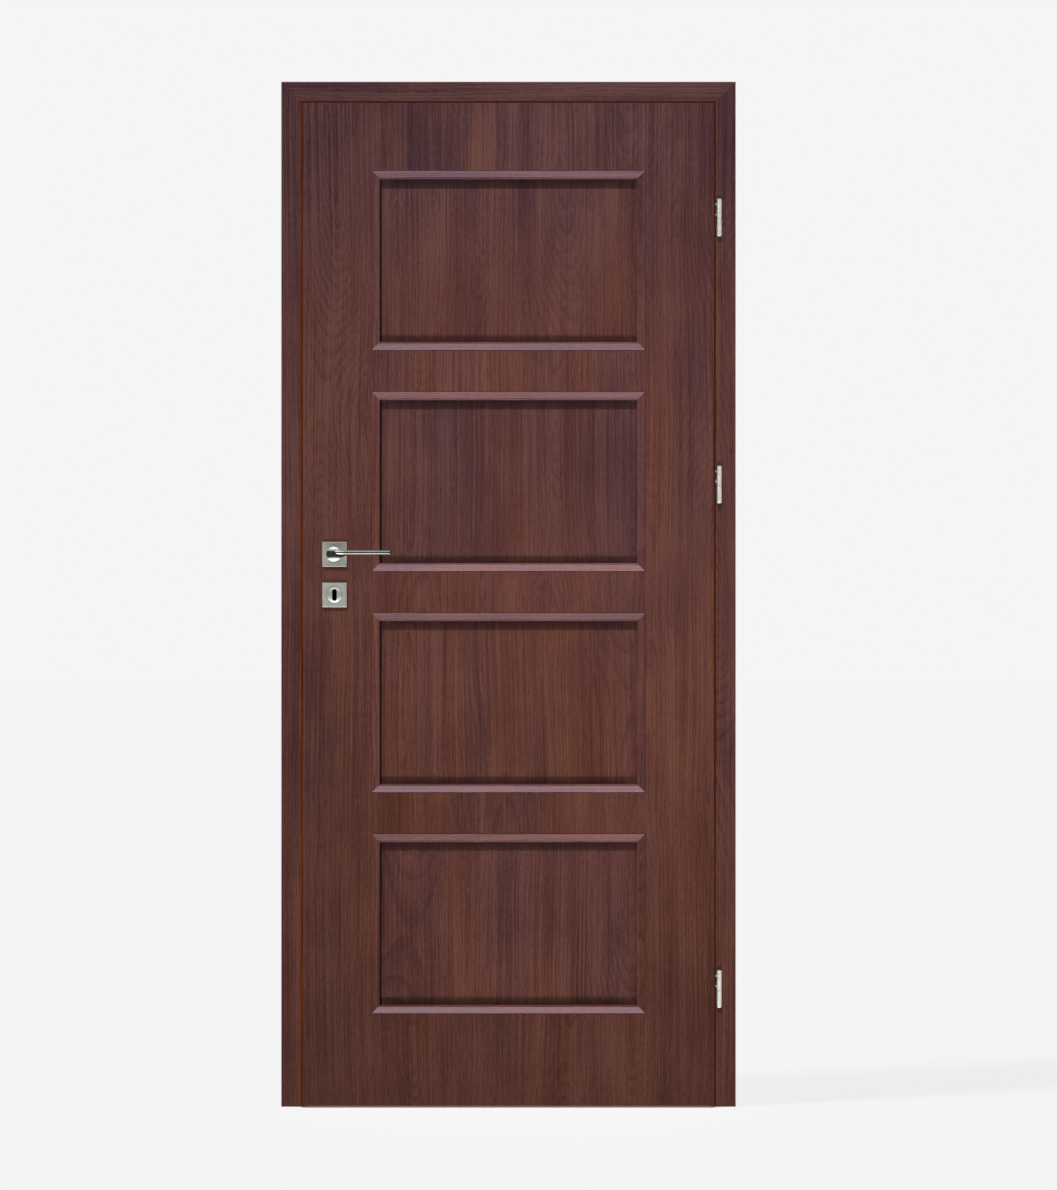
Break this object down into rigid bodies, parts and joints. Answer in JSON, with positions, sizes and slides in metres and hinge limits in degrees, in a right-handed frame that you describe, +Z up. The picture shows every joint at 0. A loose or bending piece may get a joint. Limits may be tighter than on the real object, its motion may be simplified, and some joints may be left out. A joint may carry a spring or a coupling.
{
  "type": "interior door",
  "caption": "Rebated interior door leaf with recessed panels and raised mouldings, hung on barrel hinges in a mitred block frame, with lever handle, latch and key lock.",
  "frame": {"origin": "on the floor, in the middle of the frame's width, in the plane of the frame's front face", "axes": "+X towards the hinges, +Y from the front face into the wall, +Z up"},
  "size_m": [0.92, 0.164, 2.075],
  "materials": {
    "laminate": "reddish-brown wood-grain laminate, satin",
    "core_board": "board core with laminate-wrapped edges",
    "lipping": "warm brown edge strip, satin",
    "dowel_wood": "raw beech",
    "seal_rubber": "dark brown, matt",
    "zinc_steel": "zinc plated",
    "hinge_nickel": "satin nickel",
    "bush_plastic": "moulded",
    "lock_nickel": "nickel plated",
    "lock_steel": "plain steel",
    "satin_nickel": "satin nickel",
    "polished_nickel": "polished nickel"
  },
  "bodies": {
    "frame": {"jamb_lock": "laminate", "jamb_hinge": "laminate", "head": "laminate", "corner_dowels": "dowel_wood", "frame_seals": "seal_rubber", "strike_plate": "zinc_steel", "strike_screws": "zinc_steel", "hinge_frame_studs": "zinc_steel", "hinge_pins": "zinc_steel", "hinge_frame_top": "hinge_nickel", "hinge_frame_middle": "hinge_nickel", "hinge_frame_bottom": "hinge_nickel"},
    "leaf": {"stile_lock": "core_board", "stile_hinge": "core_board", "rail_top": "core_board", "rail_1": "core_board", "rail_2": "core_board", "rail_3": "core_board", "rail_bottom": "core_board", "skin_front": "laminate", "skin_back": "laminate", "lippings": "lipping", "panel_1": "laminate", "panel_2": "laminate", "panel_3": "laminate", "panel_4": "laminate", "moulding_front_1": "laminate", "moulding_front_2": "laminate", "moulding_front_3": "laminate", "moulding_front_4": "laminate", "moulding_back_1": "laminate", "moulding_back_2": "laminate", "moulding_back_3": "laminate", "moulding_back_4": "laminate", "hinge_leaf_top": "hinge_nickel", "hinge_leaf_middle": "hinge_nickel", "hinge_leaf_bottom": "hinge_nickel", "hinge_leaf_studs": "zinc_steel", "hinge_bushes": "bush_plastic", "lock_case": "zinc_steel", "lock_cover": "zinc_steel", "lock_faceplate": "lock_nickel", "faceplate_screws": "zinc_steel", "latch_spring": "zinc_steel", "rose_front": "satin_nickel", "rose_back": "satin_nickel", "key_rose_front": "satin_nickel", "key_rose_back": "satin_nickel", "key_boss_front": "polished_nickel", "key_boss_back": "polished_nickel", "rose_bases": "bush_plastic", "rose_bolts": "zinc_steel"},
    "lever": {"lever_front": "polished_nickel", "lever_back": "polished_nickel", "spindle": "lock_steel", "grub_screws": "zinc_steel", "follower": "lock_steel"},
    "latch": {"latch_bolt": "lock_nickel"},
    "deadbolt": {"deadbolt": "lock_nickel"}
  },
  "joints": [
    {"name": "door_swing", "type": "hinge", "parent": "frame", "child": "leaf", "pos_m": [0.4255, -0.0085, 0], "axis": [0, 0, 1], "range_deg": [0, 170]},
    {"name": "lever_turn", "type": "hinge", "parent": "leaf", "child": "lever", "pos_m": [-0.351, 0.004, 1.118], "axis": [0, 1, 0], "range_deg": [0, 40], "stiffness_Nm_per_rad": 2, "springref_deg": -28.65},
    {"name": "latch_slide", "type": "slide", "parent": "leaf", "child": "latch", "axis": [1, 0, 0], "range_m": [0, 0.011], "deforming": ["latch_spring"]},
    {"name": "deadbolt_throw", "type": "slide", "parent": "leaf", "child": "deadbolt", "axis": [-1, 0, 0], "range_m": [0, 0.014]}
  ],
  "couplings": [
    {"joint": "latch_slide", "follows": "lever_turn", "m_per_rad": 0.01575}
  ]
}
